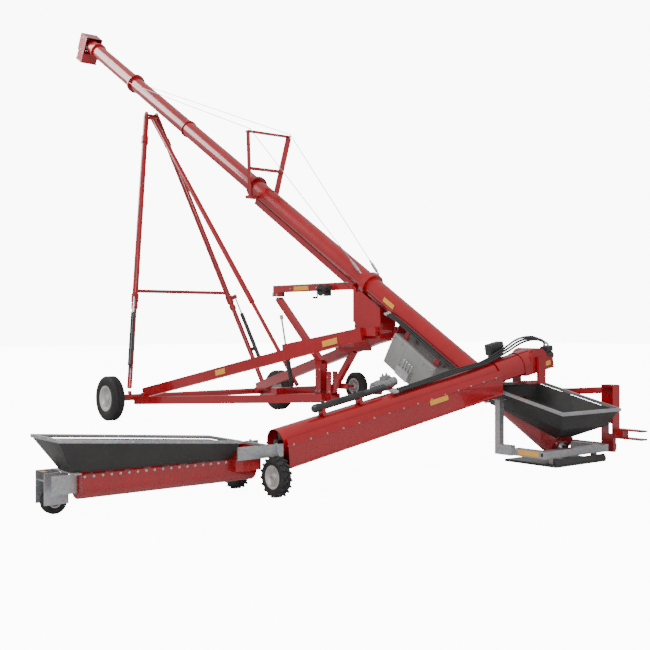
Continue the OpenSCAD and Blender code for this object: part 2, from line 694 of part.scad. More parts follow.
main_tube();
tube_bands();
discharge_head();
head_bearing();
boot_housing();
boot_bearing();
intake_hopper();
intake_rim();
boot_skid();
skid_frame();
hitch_post();
hitch_tongue();
hydraulic_tank();
valve_bank();
tank_bracket();
track_rail();
cable_bridge();
stay_cables();
turnbuckles();
lower_yoke();
lift_boom();
winch();
tube_hoses();
swing_post();
main_screw();
leg_left();
leg_right();
leg_crossbar();
centre_strut();
lift_rods();
lower_leg_left();
lower_leg_right();
lift_barrel_left();
lift_barrel_right();
arm_left();
arm_right();
base_beam_left();
base_beam_right();
axle();
tower_plates();
tower_strut();
centre_cylinder();
wheel_left();
wheel_right();
jack_wheel();
swing_table();
swing_tube();
swing_beam();
swing_hood();
swing_motor();
fold_cylinder();
swing_hoses();
swing_flighting();
hopper_trough();
mover_hopper();
mover_frame();
hopper_flighting();
drive_wheel_near();
drive_wheel_far();
caster_wheel();
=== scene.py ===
import json
import math

import bmesh
import bpy
from mathutils import Matrix, Vector


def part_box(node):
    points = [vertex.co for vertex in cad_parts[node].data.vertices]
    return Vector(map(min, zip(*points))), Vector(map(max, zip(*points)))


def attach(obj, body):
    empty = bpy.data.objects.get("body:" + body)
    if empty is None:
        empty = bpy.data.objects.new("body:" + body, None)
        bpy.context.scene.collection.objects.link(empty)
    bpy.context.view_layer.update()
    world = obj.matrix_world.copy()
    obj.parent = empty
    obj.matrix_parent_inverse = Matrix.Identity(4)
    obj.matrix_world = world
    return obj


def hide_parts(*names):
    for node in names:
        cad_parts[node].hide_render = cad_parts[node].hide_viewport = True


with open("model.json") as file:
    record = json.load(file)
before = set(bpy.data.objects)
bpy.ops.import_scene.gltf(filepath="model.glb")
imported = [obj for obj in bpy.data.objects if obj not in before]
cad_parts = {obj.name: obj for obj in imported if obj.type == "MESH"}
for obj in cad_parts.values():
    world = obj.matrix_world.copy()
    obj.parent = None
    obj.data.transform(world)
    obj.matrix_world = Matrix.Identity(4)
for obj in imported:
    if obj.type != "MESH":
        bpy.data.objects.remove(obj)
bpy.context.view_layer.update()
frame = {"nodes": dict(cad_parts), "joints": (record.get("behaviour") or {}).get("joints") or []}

# The stage: a pale floor under soft studio light, seen from standing height
# beside the mover hopper, looking up the main auger.
scene = bpy.context.scene
view_from = Vector((-7.08, 8.80, 1.48))
view_along = Vector((0.776, -0.630, 0.0))
camera = bpy.data.objects.new("camera", bpy.data.cameras.new("camera"))
camera.data.sensor_width = 36.0
camera.data.lens = 55.4
camera.location = view_from
camera.rotation_euler = view_along.to_track_quat("-Z", "Y").to_euler()
scene.collection.objects.link(camera)
scene.camera = camera

world = bpy.data.worlds.new("studio")
world.use_nodes = True
world.node_tree.nodes["Background"].inputs["Color"].default_value = (1.0, 1.0, 1.0, 1.0)
world.node_tree.nodes["Background"].inputs["Strength"].default_value = 0.55
backdrop = world.node_tree.nodes.new("ShaderNodeBackground")
backdrop.inputs["Strength"].default_value = 12.0
seen = world.node_tree.nodes.new("ShaderNodeLightPath")
either = world.node_tree.nodes.new("ShaderNodeMixShader")
world.node_tree.links.new(seen.outputs["Is Camera Ray"], either.inputs[0])
world.node_tree.links.new(world.node_tree.nodes["Background"].outputs[0], either.inputs[1])
world.node_tree.links.new(backdrop.outputs[0], either.inputs[2])
world.node_tree.links.new(either.outputs[0], world.node_tree.nodes["World Output"].inputs[0])
scene.world = world


def soft_box(name, place, target, size, power):
    """A square area light aimed at a point."""
    light = bpy.data.objects.new(name, bpy.data.lights.new(name, "AREA"))
    light.data.size = size
    light.data.energy = power
    light.location = place
    light.rotation_euler = (Vector(target) - Vector(place)).to_track_quat("-Z", "Y").to_euler()
    scene.collection.objects.link(light)


soft_box("key", (-5, 7, 13), (4, 1, 1), 5, 1500)
soft_box("fill", (-9, 12, 4), (3, 1, 1), 6, 420)
soft_box("rim", (13, 4, 9), (6, 0, 3), 5, 700)


class Value:
    """A number in a shader. Arithmetic on it adds Math nodes."""

    def __init__(self, finish, socket):
        self.finish = finish
        self.socket = socket

    def maths(self, operation, *others):
        return self.finish.node("ShaderNodeMath", {"operation": operation}, [self, *others])

    def __add__(self, other):
        return self.maths("ADD", other)

    __radd__ = __add__

    def __mul__(self, other):
        return self.maths("MULTIPLY", other)

    __rmul__ = __mul__

    def between(self, low, high):
        """0 at low and 1 at high, held at both ends."""
        inputs = {"Value": self, "From Min": low, "From Max": high}
        return self.finish.node("ShaderNodeMapRange", {"clamp": True}, inputs)


class Finish:
    """A material with one Principled shader, built by the methods below."""

    def __init__(self, name, slot):
        self.material = bpy.data.materials.new(name)
        self.material.use_nodes = True
        self.tree = self.material.node_tree
        self.shader = self.tree.nodes["Principled BSDF"]
        self.slot = slot
        self.place = self.node("ShaderNodeTexCoord", {}, {}, "Object")

    def plug(self, socket, value):
        if isinstance(value, Value):
            self.tree.links.new(value.socket, socket)
        else:
            socket.default_value = value

    def node(self, kind, settings, inputs, output=0):
        made = self.tree.nodes.new(kind)
        for key, value in settings.items():
            setattr(made, key, value)
        pairs = inputs.items() if isinstance(inputs, dict) else enumerate(inputs)
        for key, value in pairs:
            self.plug(made.inputs[key], value)
        return Value(self, made.outputs[output])

    def noise(self, scale, detail=4.0, stretch=(1, 1, 1)):
        placed = self.node("ShaderNodeMapping", {}, {"Vector": self.place, "Scale": stretch})
        inputs = {"Vector": placed, "Scale": scale, "Detail": detail}
        return self.node("ShaderNodeTexNoise", {}, inputs)

    def cells(self, scale):
        return self.node("ShaderNodeTexVoronoi", {}, {"Vector": self.place, "Scale": scale}, "Color")

    def blend(self, amount, first, second):
        made = self.tree.nodes.new("ShaderNodeMix")
        made.data_type = "RGBA"
        self.plug(made.inputs[0], amount)
        for socket, colour in ((made.inputs[6], first), (made.inputs[7], second)):
            self.plug(socket, colour if isinstance(colour, Value) else (*colour, 1.0))
        return Value(self, made.outputs[2])

    def upward(self):
        """1 on faces that look up, 0 on the rest."""
        normal = self.node("ShaderNodeNewGeometry", {}, {}, "Normal")
        height = self.node("ShaderNodeSeparateXYZ", {}, [normal], "Z")
        return height.between(0.35, 0.95)

    def low_down(self, low, high):
        """1 near the ground, 0 above high."""
        height = self.node("ShaderNodeSeparateXYZ", {}, [self.place], "Z")
        return height.between(high, low)

    def set(self, **values):
        for name, value in values.items():
            self.plug(self.shader.inputs[name.replace("_", " ")], value)

    def bump(self, height, distance, strength=1.0):
        inputs = {"Height": height, "Distance": distance, "Strength": strength}
        self.set(Normal=self.node("ShaderNodeBump", {}, inputs))


def coat_nodes(finish, *names):
    """Gives CAD nodes a finish."""
    for name in names:
        frame["nodes"][name].data.materials.clear()
        frame["nodes"][name].data.materials.append(finish.material)


def settle(name, bm, finish, body, smooth=40):
    """Turns a bmesh into a piece that rides on a body."""
    mesh = bpy.data.meshes.new(name)
    bmesh.ops.remove_doubles(bm, verts=bm.verts, dist=1e-5)
    bmesh.ops.recalc_face_normals(bm, faces=bm.faces)
    bm.to_mesh(mesh)
    bm.free()
    mesh.materials.append(finish.material)
    piece = bpy.data.objects.new(name, mesh)
    scene.collection.objects.link(piece)
    for polygon in mesh.polygons:
        polygon.use_smooth = True
    mesh.set_sharp_from_angle(angle=math.radians(smooth))
    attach(piece, body)
    return piece


floor_finish = Finish("studio_floor", None)
floor_seen = floor_finish.node("ShaderNodeLightPath", {}, {}, "Is Camera Ray")
floor_finish.set(
    Base_Color=(0.6, 0.6, 0.6, 1), Roughness=0.8,
    Emission_Color=(1, 1, 1, 1), Emission_Strength=floor_seen * 11.0,
)
bm = bmesh.new()
bmesh.ops.create_grid(bm, x_segments=1, y_segments=1, size=60)
floor_mesh = bpy.data.meshes.new("floor")
bm.to_mesh(floor_mesh)
bm.free()
floor_mesh.materials.append(floor_finish.material)
floor = bpy.data.objects.new("floor", floor_mesh)
scene.collection.objects.link(floor)

# Welded steelwork: tubes, arms, legs, clamps and housings in gloss red enamel
# over sheet and box section. The paint has slight orange peel, faint runs, a
# film of grain dust on upward faces and road dirt near the ground.
red = Finish("red_enamel", "red_paint")
tone = red.noise(1.3, 3.0)
runs = red.noise(5.0, 3.0, (3, 3, 0.3))
dust = red.noise(9.0, 6.0).between(0.48, 0.72) * red.upward() * 0.12
dirt = red.noise(14.0, 6.0).between(0.42, 0.70) * red.low_down(0.05, 0.55) * 0.30
paint = red.blend(tone.between(0.3, 0.7), (0.330, 0.0035, 0.0075), (0.400, 0.0055, 0.0110))
paint = red.blend(runs.between(0.45, 0.8) * 0.35, paint, (0.25, 0.0025, 0.006))
paint = red.blend(dust, paint, (0.26, 0.12, 0.09))
paint = red.blend(dirt, paint, (0.12, 0.07, 0.05))
red.set(Base_Color=paint, Roughness=tone * 0.10 + 0.20 + dust * 0.8 + dirt * 0.9, Coat_Weight=0.6)
red.bump(red.noise(160.0, 2.0), 0.0006, 0.35)
coat_nodes(
    red, "main_tube", "tube_bands", "discharge_head", "boot_housing", "hitch_post", "hitch_tongue", "tank_bracket",
    "track_rail", "cable_bridge", "lower_yoke", "lift_boom", "leg_left", "leg_right", "leg_crossbar", "centre_strut",
    "lower_leg_left", "lower_leg_right", "arm_left", "arm_right", "base_beam_left", "base_beam_right", "axle",
    "tower_plates", "tower_strut", "swing_table", "swing_tube", "swing_beam", "swing_hood", "hopper_trough",
)

# Zinc-coated parts: the carrying frame, post, rims and mover frame are hot-dip
# galvanised with a soft spangle. Bearings, levers and bolts are bright zinc,
# and the stay cables are stranded wire.
zinc = Finish("galvanised_steel", "galvanised")
spangle = zinc.cells(55.0)
cloud = zinc.noise(3.0, 4.0)
shade = zinc.blend(cloud.between(0.3, 0.7), (0.34, 0.35, 0.36), (0.50, 0.51, 0.52))
zinc.set(Base_Color=zinc.blend(0.16, shade, spangle), Metallic=0.75, Roughness=cloud * 0.25 + 0.30)
zinc.bump(zinc.noise(120.0, 2.0), 0.0004, 0.3)
coat_nodes(zinc, "intake_rim", "skid_frame", "swing_post", "mover_frame")

plate = Finish("zinc_plate", "zinc_steel")
haze = plate.noise(20.0, 3.0)
plate.set(
    Base_Color=plate.blend(haze.between(0.3, 0.7), (0.55, 0.55, 0.56), (0.70, 0.70, 0.71)),
    Metallic=1.0, Roughness=haze * 0.2 + 0.25,
)
coat_nodes(plate, "head_bearing", "boot_bearing", "turnbuckles", "valve_bank")

rope = Finish("wire_rope", "wire_rope")
strand = rope.noise(60.0, 2.0)
rope.set(
    Base_Color=rope.blend(strand, (0.32, 0.33, 0.34), (0.55, 0.56, 0.57)),
    Metallic=0.9, Roughness=strand * 0.2 + 0.35,
)
coat_nodes(rope, "stay_cables")

# Screws and rods: flighting in mild steel, polished in patches by the grain,
# and lift rods in hard chrome with a thin film of oil.
worn = Finish("grain_polished_steel", "bare_steel")
scour = worn.noise(12.0, 5.0)
worn.set(
    Base_Color=worn.blend(scour.between(0.35, 0.65), (0.22, 0.20, 0.19), (0.50, 0.49, 0.48)),
    Metallic=0.95, Roughness=scour * 0.4 + 0.2,
)
coat_nodes(worn, "main_screw", "swing_flighting", "hopper_flighting")

chrome = Finish("hard_chrome", "chrome_rod")
film = chrome.noise(30.0, 2.0)
chrome.set(
    Base_Color=chrome.blend(film, (0.74, 0.75, 0.77), (0.84, 0.85, 0.87)),
    Metallic=1.0, Roughness=film * 0.1 + 0.06,
)
coat_nodes(chrome, "lift_rods")

# Hydraulic reservoir: folded sheet in grey enamel with rounded corners, two
# raised bands around it, a filler cap on top and bolts in its long sides.
grey = Finish("grey_enamel", "grey_paint")
mottle = grey.noise(2.4, 4.0)
oil = grey.noise(7.0, 5.0, (1, 1, 0.25)).between(0.60, 0.80) * 0.3
body_grey = grey.blend(mottle.between(0.3, 0.7), (0.21, 0.21, 0.205), (0.28, 0.28, 0.272))
grey.set(Base_Color=grey.blend(oil, body_grey, (0.10, 0.09, 0.08)), Roughness=mottle * 0.15 + 0.35)
grey.bump(grey.noise(140.0, 2.0), 0.0005, 0.3)


def joint(name):
    """A joint of the frame by name."""
    return next(j for j in frame["joints"] if j["name"] == name)


main_joint = joint("main_screw_spin")
main_axis = Vector(main_joint["axis"])
main_start = Vector(main_joint["pos_m"])
main_up = Vector((-main_axis.z, 0.0, main_axis.x))
TO_TUBE = Matrix((
    (main_axis.x, 0.0, main_up.x, main_start.x),
    (0.0, 1.0, 0.0, main_start.y),
    (main_axis.z, 0.0, main_up.z, main_start.z),
    (0.0, 0.0, 0.0, 1.0),
))


def add_block(bm, low, high, edge=0.0, place=Matrix.Identity(4), segments=2):
    """Adds a box between two corners, with rounded edges."""
    before = set(bm.verts)
    made = bmesh.ops.create_cube(bm, size=1.0)["verts"]
    size = Vector(high) - Vector(low)
    middle = (Vector(high) + Vector(low)) / 2
    bmesh.ops.transform(bm, matrix=Matrix.Translation(middle) @ Matrix.Diagonal((*size, 1.0)), verts=made)
    if edge:
        edges = list({e for v in made for e in v.link_edges})
        bmesh.ops.bevel(
            bm, geom=edges, offset=edge, offset_type="OFFSET", affect="EDGES", segments=segments,
            profile=0.5, material=-1, clamp_overlap=True)
    bmesh.ops.transform(bm, matrix=place, verts=[v for v in bm.verts if v not in before])


def add_turned(bm, outline, place, steps=32):
    """Spins an outline of (radius, height) pairs about Z and moves it into place."""
    verts = [bm.verts.new((r, 0.0, h)) for r, h in outline]
    edges = [bm.edges.new(pair) for pair in zip(verts, verts[1:])]
    before = set(bm.verts) - set(verts)
    bmesh.ops.spin(
        bm, geom=verts + edges, cent=(0, 0, 0), axis=(0, 0, 1), angle=2 * math.pi, steps=steps,
        use_merge=True, dvec=(0, 0, 0))
    bmesh.ops.transform(bm, matrix=place, verts=[v for v in bm.verts if v not in before])


def facing(point, direction):
    """A matrix that puts the origin at point with Z along direction."""
    turn = Vector(direction).to_track_quat("Z", "Y").to_matrix().to_4x4()
    return Matrix.Translation(Vector(point)) @ turn


def add_bolt(bm, point, direction, size=0.020):
    """A hexagon head on a washer."""
    place = facing(point, direction)
    washer = bmesh.ops.create_cone(
        bm, cap_ends=True, segments=12, radius1=size * 1.05, radius2=size * 1.05, depth=size * 0.25)["verts"]
    bmesh.ops.transform(bm, matrix=place @ Matrix.Translation((0, 0, size * 0.12)), verts=washer)
    head = bmesh.ops.create_cone(
        bm, cap_ends=True, segments=6, radius1=size * 0.85, radius2=size * 0.78, depth=size * 0.6)["verts"]
    bmesh.ops.transform(bm, matrix=place @ Matrix.Translation((0, 0, size * 0.55)), verts=head)


tank_low = Vector((1.560, -0.170, -0.640))
tank_high = Vector((2.400, 0.170, -0.210))
bm = bmesh.new()
add_block(bm, tank_low, tank_high, 0.022, TO_TUBE, 3)
for along in (0.28, 0.56):
    band_low = (tank_low.x + along, -0.1725, -0.630)
    band_high = (tank_low.x + along + 0.012, 0.1725, -0.220)
    add_block(bm, band_low, band_high, 0.002, TO_TUBE)
add_turned(bm, [(0.0, 0.0), (0.055, 0.0), (0.055, 0.018), (0.045, 0.026), (0.0, 0.026)],
           TO_TUBE @ Matrix.Translation((1.70, 0.0, -0.212)))
tank = settle("oil_reservoir", bm, grey, "main_auger")
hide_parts("hydraulic_tank")

bm = bmesh.new()
for along in (1.60, 1.76, 2.20, 2.36):
    for side in (-0.172, 0.172):
        for height in (-0.60, -0.25):
            add_bolt(bm, TO_TUBE @ Vector((along, side, height)), (0, side, 0), 0.014)
settle("reservoir_bolts", bm, plate, "main_auger")

# Tube joints: each clamp and flange ring around the tube is drawn up by a
# circle of bright zinc bolts along the axis.
bm = bmesh.new()
for along, radius, count, width in (
    (10.700, 0.144, 12, 0.034), (9.200, 0.152, 8, 0.050), (7.370, 0.136, 6, 0.022),
    (5.390, 0.147, 12, 0.040), (2.760, 0.147, 10, 0.090), (0.640, 0.142, 12, 0.030),
):
    start = along / main_axis.x
    for k in range(count):
        angle = 2 * math.pi * (k + 0.5) / count
        rim = TO_TUBE @ Vector((start + width, radius * math.cos(angle), radius * math.sin(angle)))
        add_bolt(bm, rim, main_axis, 0.011)
settle("flange_bolts", bm, plate, "main_auger")

# Tube seams: the tube is rolled in lengths, with a low raised weld around each
# joint under the same paint.
bm = bmesh.new()
for along in (1.9, 3.9, 6.3, 8.3, 10.1):
    start = along / main_axis.x
    add_turned(bm, [(0.1262, -0.006), (0.1290, -0.003), (0.1290, 0.003), (0.1262, 0.006)],
               TO_TUBE @ facing((start, 0, 0), (1, 0, 0)), 48)
settle("tube_welds", bm, red, "main_auger")

# Discharge head: a rolled lip stiffens the spout's mouth, and screws hold the
# lid and the side plates of the folded housing.
tube_end = 10.950 / main_axis.x
bm = bmesh.new()
for side in (-1, 1):
    lip_low = (tube_end + 0.020, side * 0.160 - 0.008, -0.350)
    lip_high = (tube_end + 0.284, side * 0.160 + 0.008, -0.326)
    add_block(bm, lip_low, lip_high, 0.004, TO_TUBE)
for along in (0.022, 0.276):
    lip_low = (tube_end + along - 0.006, -0.168, -0.350)
    lip_high = (tube_end + along + 0.012, 0.168, -0.326)
    add_block(bm, lip_low, lip_high, 0.004, TO_TUBE)
settle("spout_lip", bm, red, "main_auger")
bm = bmesh.new()
for along in (0.03, 0.15, 0.27):
    for side in (-0.14, 0.14):
        add_bolt(bm, TO_TUBE @ Vector((tube_end + along, side, 0.165)), main_up, 0.010)
    for side in (-0.165, 0.165):
        for height in (-0.12, 0.12):
            add_bolt(bm, TO_TUBE @ Vector((tube_end + along, side, height)), (0, side, 0), 0.010)
settle("head_screws", bm, plate, "main_auger")

# Road wheels: rubber tyres with grooved tread on pressed steel discs in pale
# enamel. A disc's nuts ring its hub, which turns on a spindle.
rubber = Finish("tyre_rubber", "tyre_rubber")
grit = rubber.noise(25.0, 6.0)
caked = grit.between(0.50, 0.75) * 0.35
rubber.set(
    Base_Color=rubber.blend(caked, (0.014, 0.014, 0.015), (0.10, 0.085, 0.07)),
    Roughness=grit * 0.2 + 0.65,
)
rubber.bump(rubber.noise(90.0, 3.0), 0.0012, 0.5)

disc = Finish("wheel_enamel", "galvanised")
bloom = disc.noise(8.0, 4.0)
disc.set(
    Base_Color=disc.blend(bloom.between(0.3, 0.7), (0.46, 0.45, 0.43), (0.60, 0.59, 0.57)),
    Metallic=0.2, Roughness=bloom * 0.2 + 0.35,
)
coat_nodes(disc, "wheel_left", "wheel_right", "jack_wheel", "drive_wheel_near", "drive_wheel_far",
    "caster_wheel")


def carcass(bm, outer, half, rim, grooves, place, steps=72):
    """Turns a tyre with round shoulders and grooves around its tread."""
    crown = [(outer, -half * 0.62), (outer, half * 0.62)]
    tread = []
    for k in range(grooves):
        middle = half * 0.62 * (2 * (k + 1) / (grooves + 1) - 1)
        tread += [(outer, middle - 0.004), (outer - 0.010, middle - 0.003)]
        tread += [(outer - 0.010, middle + 0.003), (outer, middle + 0.004)]
    wall = outer - rim
    side = [(rim + 0.002, 0.70 * half), (rim + 0.10 * wall, 0.86 * half), (rim + 0.40 * wall, half),
            (rim + 0.62 * wall, 0.985 * half), (rim + 0.86 * wall, 0.86 * half), (outer - 0.006, 0.72 * half)]
    outline = [(r, -h) for r, h in side] + [crown[0]] + tread + [crown[1]] + [(r, h) for r,
        h in reversed(side)]
    outline.append(outline[0])
    add_turned(bm, outline, place, steps)


def wheel(name, node, outward, outer, half, rim, grooves, lugs, bolts):
    """Makes a tyre and its disc around a joint, in place of a CAD wheel."""
    place = facing(joint(node + "_spin")["pos_m"], outward)
    bm = bmesh.new()
    carcass(bm, outer, half, rim, grooves, place)
    for k in range(lugs):
        for side in (-1, 1):
            angle = 2 * math.pi * (k + (0.5 if side > 0 else 0.0)) / lugs
            lug = Matrix.Rotation(angle, 4, "Z") @ Matrix.Translation((outer + 0.003, 0, side * half * 0.42))
            lug = lug @ Matrix.Rotation(side * math.radians(38), 4, "X")
            add_block(bm, (-0.010, -0.010, -half * 0.55), (0.010, 0.010, half * 0.55), 0.004, place @ lug, 1)
    tyre = settle(name + "_tyre", bm, rubber, node)
    bm = bmesh.new()
    dish = [(0.030, 0.46 * half), (0.34 * rim, 0.46 * half), (0.42 * rim, 0.30 * half),
        (0.80 * rim, 0.26 * half),
            (0.86 * rim, 0.50 * half), (0.90 * rim, 0.80 * half), (rim + 0.008, 0.86 * half), (rim + 0.010,
                0.78 * half),
            (0.95 * rim, 0.60 * half), (0.93 * rim, -0.60 * half), (rim + 0.010, -0.78 * half),
            (rim + 0.008, -0.86 * half), (0.90 * rim, -0.80 * half), (0.86 * rim, -0.10 * half),
            (0.80 * rim, 0.16 * half), (0.42 * rim, 0.20 * half), (0.30 * rim, 0.30 * half), (0.030,
                0.30 * half)]
    dish.append(dish[0])
    add_turned(bm, dish, place, 48)
    hub = [(0.026, -0.9 * half), (0.048, -0.9 * half), (0.054, 0.2 * half), (0.054, 0.5 * half),
           (0.046, 0.70 * half), (0.030, 0.76 * half), (0.0, 0.78 * half)]
    scale = min(1.0, rim / 0.190 + 0.15)
    add_turned(bm, [(r * scale, h) for r, h in hub], place, 32)
    for k in range(bolts):
        angle = 2 * math.pi * k / bolts
        ring = 0.315 * rim
        spot = place @ Vector((ring * math.cos(angle), ring * math.sin(angle), 0.46 * half))
        add_bolt(bm, spot, place.to_3x3() @ Vector((0, 0, 1)), 0.05 * rim + 0.002)
    hub_piece = settle(name + "_disc", bm, disc, node)
    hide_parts(node)
    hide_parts(node)


wheel("left_road_wheel", "wheel_left", (0, 1, 0), 0.345, 0.098, 0.190, 4, 0, 6)
wheel("right_road_wheel", "wheel_right", (0, -1, 0), 0.345, 0.098, 0.190, 4, 0, 6)
wheel("parking_wheel", "jack_wheel", (0, -1, 0), 0.190, 0.060, 0.100, 2, 0, 5)

# Mover wheels: two small drive tyres with angled rubber lugs, and a plain
# grooved caster under the hopper's outer end.
wheel("near_drive", "drive_wheel_near", (0, 1, 0), 0.164, 0.052, 0.096, 0, 18, 4)
wheel("far_drive", "drive_wheel_far", (0, 1, 0), 0.164, 0.052, 0.096, 0, 18, 4)
wheel("outer_caster", "caster_wheel", (-1, 0, 0), 0.105, 0.038, 0.050, 1, 0, 4)

# Black enamelled parts: the lift barrels and the wear skid, in gloss black over
# steel. The detailed pieces that follow take the same finish.
black = Finish("black_enamel", "black_paint")
soot = black.noise(6.0, 4.0)
black.set(
    Base_Color=black.blend(soot.between(0.35, 0.7) * 0.6, (0.014, 0.014, 0.015), (0.045, 0.043, 0.040)),
    Roughness=soot * 0.25 + 0.28, Coat_Weight=0.2,
)
black.bump(black.noise(150.0, 2.0), 0.0004, 0.3)
coat_nodes(
    black, "lift_barrel_left", "lift_barrel_right", "centre_cylinder", "winch", "swing_motor",
    "fold_cylinder", "boot_skid",
)

# Black polyethylene for both moulded hoppers: matt and finely grained, with
# pale scuffs where grain slides and chutes rub.
poly = Finish("black_polyethylene", "black_poly")
grain = poly.noise(4.0, 5.0)
scuff = poly.noise(18.0, 6.0, (1, 1, 6)).between(0.60, 0.78) * 0.35
clean_poly = poly.blend(grain.between(0.3, 0.7), (0.016, 0.016, 0.016), (0.030, 0.029, 0.028))
poly.set(Base_Color=poly.blend(scuff, clean_poly, (0.11, 0.10, 0.085)), Roughness=grain * 0.2 + 0.42)
poly.bump(poly.noise(220.0, 2.0), 0.0006, 0.4)

# Tube hoses: three matt black rubber hoses along the side of the main tube, each
# with a crimped zinc fitting at both ends.
cover = Finish("hose_cover", "hose_rubber")
wrap = cover.noise(80.0, 3.0)
cover.set(
    Base_Color=cover.blend(wrap, (0.012, 0.012, 0.013), (0.035, 0.034, 0.033)),
    Roughness=wrap * 0.2 + 0.45,
)


def smooth_route(points, per=10):
    """Samples the smooth curve through some points."""
    route = []
    for i in range(len(points) - 1):
        a, b, c, d = (Vector(points[min(max(k, 0), len(points) - 1)]) for k in (i - 1, i, i + 1, i + 2))
        for step in range(per):
            f = step / per
            route.append(0.5 * (2 * b + (c - a) * f + (2 * a - 5 * b + 4 * c - d) * f * f
                                + (3 * b - a - 3 * c + d) * f * f * f))
    return route + [Vector(points[-1])]


def add_pipe(bm, route, radius, sides=14):
    """Sweeps a round section along a route and closes its ends."""
    rings = []
    for i, point in enumerate(route):
        along = (route[min(i + 1, len(route) - 1)] - route[max(i - 1, 0)]).normalized()
        across = along.cross(Vector((0.13, 0.21, 0.97))).normalized()
        up = along.cross(across)
        turns = [2 * math.pi * k / sides for k in range(sides)]
        rings.append([bm.verts.new(point + radius * (math.cos(t) * across + math.sin(t) * up)) for t in turns])
    for first, second in zip(rings, rings[1:]):
        for k in range(sides):
            bm.faces.new((first[k], first[(k + 1) % sides], second[(k + 1) % sides], second[k]))
    for ring in (rings[0], rings[-1]):
        bm.faces.new(ring)


def hose_set(name, node, body, place, routes):
    """Makes hoses with crimped fittings at both ends, in place of a CAD node."""
    bm = bmesh.new()
    ends = bmesh.new()
    for points in routes:
        route = [place @ point for point in smooth_route(points)]
        add_pipe(bm, route, 0.0118)
        for tip, inner in ((route[0], route[3]), (route[-1], route[-4])):
            crimp = [(0.0, -0.012), (0.011, -0.012), (0.011, 0.0), (0.0155, 0.0), (0.0155, 0.012),
                (0.0135, 0.014),
                     (0.0135, 0.018), (0.0155, 0.020), (0.0155, 0.034), (0.0135, 0.036), (0.0135, 0.040),
                     (0.0155, 0.042), (0.0155, 0.052), (0.0, 0.052)]
            add_turned(ends, crimp, facing(tip, inner - tip), 18)
    hoses = settle(name, bm, cover, body)
    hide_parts(node)
    fittings = settle(name + "_fittings", ends, plate, body)
    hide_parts(node)


hose_set("tube_hose_bundle", "tube_hoses", "main_auger", TO_TUBE, [
    [(2.650, 0.132 + 0.030 * k, -0.060 - 0.012 * k), (2.350, 0.150 + 0.022 * k, -0.030 - 0.012 * k),
     (1.800, 0.152 + 0.020 * k, -0.024 - 0.020 * k), (1.300, 0.152 + 0.020 * k, -0.024 - 0.020 * k),
     (0.900, 0.182 + 0.026 * k, -0.010 - 0.020 * k), (0.620, 0.200 + 0.028 * k, -0.010 - 0.020 * k)]
    for k in range(3)])

# Swing auger hoses: three lines from beside the fold cylinder over the top of
# the swing auger to its motor, in the same hose and fittings.
swing_pivot = Vector(joint("swing_tilt")["pos_m"])
swing_plane = joint("swing_tilt")["pos_m"][0]
swing_axis = Vector(joint("swing_screw_spin")["axis"])
swing_fall = math.atan2(-swing_axis.z, swing_axis.y)
TO_SWING = Matrix.Translation(swing_pivot) @ Matrix.Rotation(-swing_fall, 4, "X")
swing_turn = TO_SWING.to_3x3()
hose_set("swing_hose_bundle", "swing_hoses", "swing_auger", TO_SWING, [
    [(-0.095 + 0.026 * k, 2.150, 0.140 + 0.008 * k), (-0.085 + 0.026 * k, 1.750, 0.136 + 0.008 * k),
     (-0.095 + 0.026 * k, 1.250, 0.150 + 0.010 * k), (-0.075 + 0.026 * k, 0.800, 0.140 + 0.010 * k),
     (-0.060 + 0.026 * k, 0.420, 0.190 + 0.016 * k), (-0.030 + 0.026 * k, 0.120, 0.235 + 0.020 * k),
     (-0.030 + 0.026 * k, -0.120, 0.225 + 0.016 * k), (-0.030 + 0.026 * k, -0.300, 0.150 + 0.014 * k)]
    for k in range(3)])


# Mover hopper: a low moulded tub, open to the screw below, inside a folded
# zinc rim. Bolt rows hold the rim and the seam on the trough.
def add_frame(bm, rings):
    """Joins rings of four corners into a closed band."""
    loops = [[bm.verts.new(corner) for corner in ring] for ring in rings]
    for first, second in zip(loops, loops[1:] + loops[:1]):
        for k in range(4):
            bm.faces.new((first[k], first[(k + 1) % 4], second[(k + 1) % 4], second[k]))


def corners(half, near, far, low, high):
    """Four corners of a mouth that rises from its near end to its far end."""
    left = swing_plane - half
    right = swing_plane + half
    return [(left, near, low), (right, near, low), (right, far, high), (left, far, high)]


def soften(bm, edges, width):
    """Rounds some edges a little."""
    bmesh.ops.bevel(
        bm, geom=edges, offset=width, offset_type="OFFSET", affect="EDGES", segments=2,
        profile=0.5, material=-1)


bm = bmesh.new()
add_frame(bm, [
    corners(0.105, 4.050, 5.500, 0.334, 0.352), corners(0.245, 4.050, 5.660, 0.478, 0.600),
    corners(0.238, 4.057, 5.653, 0.479, 0.601), corners(0.098, 4.057, 5.493, 0.334, 0.352)])
soften(bm, [e for e in bm.edges if 0.1 < e.calc_length() < 0.35], 0.003)
tub = settle("mover_tub", bm, poly, "mover")
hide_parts("mover_hopper")

bm = bmesh.new()
add_frame(bm, [
    corners(0.261, 4.040, 5.675, 0.482, 0.606), corners(0.261, 4.040, 5.675, 0.510, 0.634),
    corners(0.237, 4.058, 5.656, 0.510, 0.634), corners(0.237, 4.058, 5.656, 0.482, 0.606)])
soften(bm, list(bm.edges), 0.0025)
tub_rim = settle("mover_tub_rim", bm, zinc, "mover")
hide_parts("mover_hopper")

bm = bmesh.new()
for side in (-1, 1):
    for k in range(18):
        add_bolt(bm, (swing_plane + side * 0.1045, 4.10 + 0.076 * k, 0.314), (side, 0, 0), 0.010)
    for k in range(12):
        share = (k + 0.5) / 12
        rim_point = (swing_plane + side * 0.2605, 4.04 + 1.635 * share, 0.496 + 0.124 * share)
        add_bolt(bm, rim_point, (side, 0, 0), 0.008)
for x in (-0.085, 0.075, 0.225, 0.385):
    add_bolt(bm, (x, 5.6745, 0.620), (0, 1, 0), 0.008)
settle("mover_seam_bolts", bm, plate, "mover")

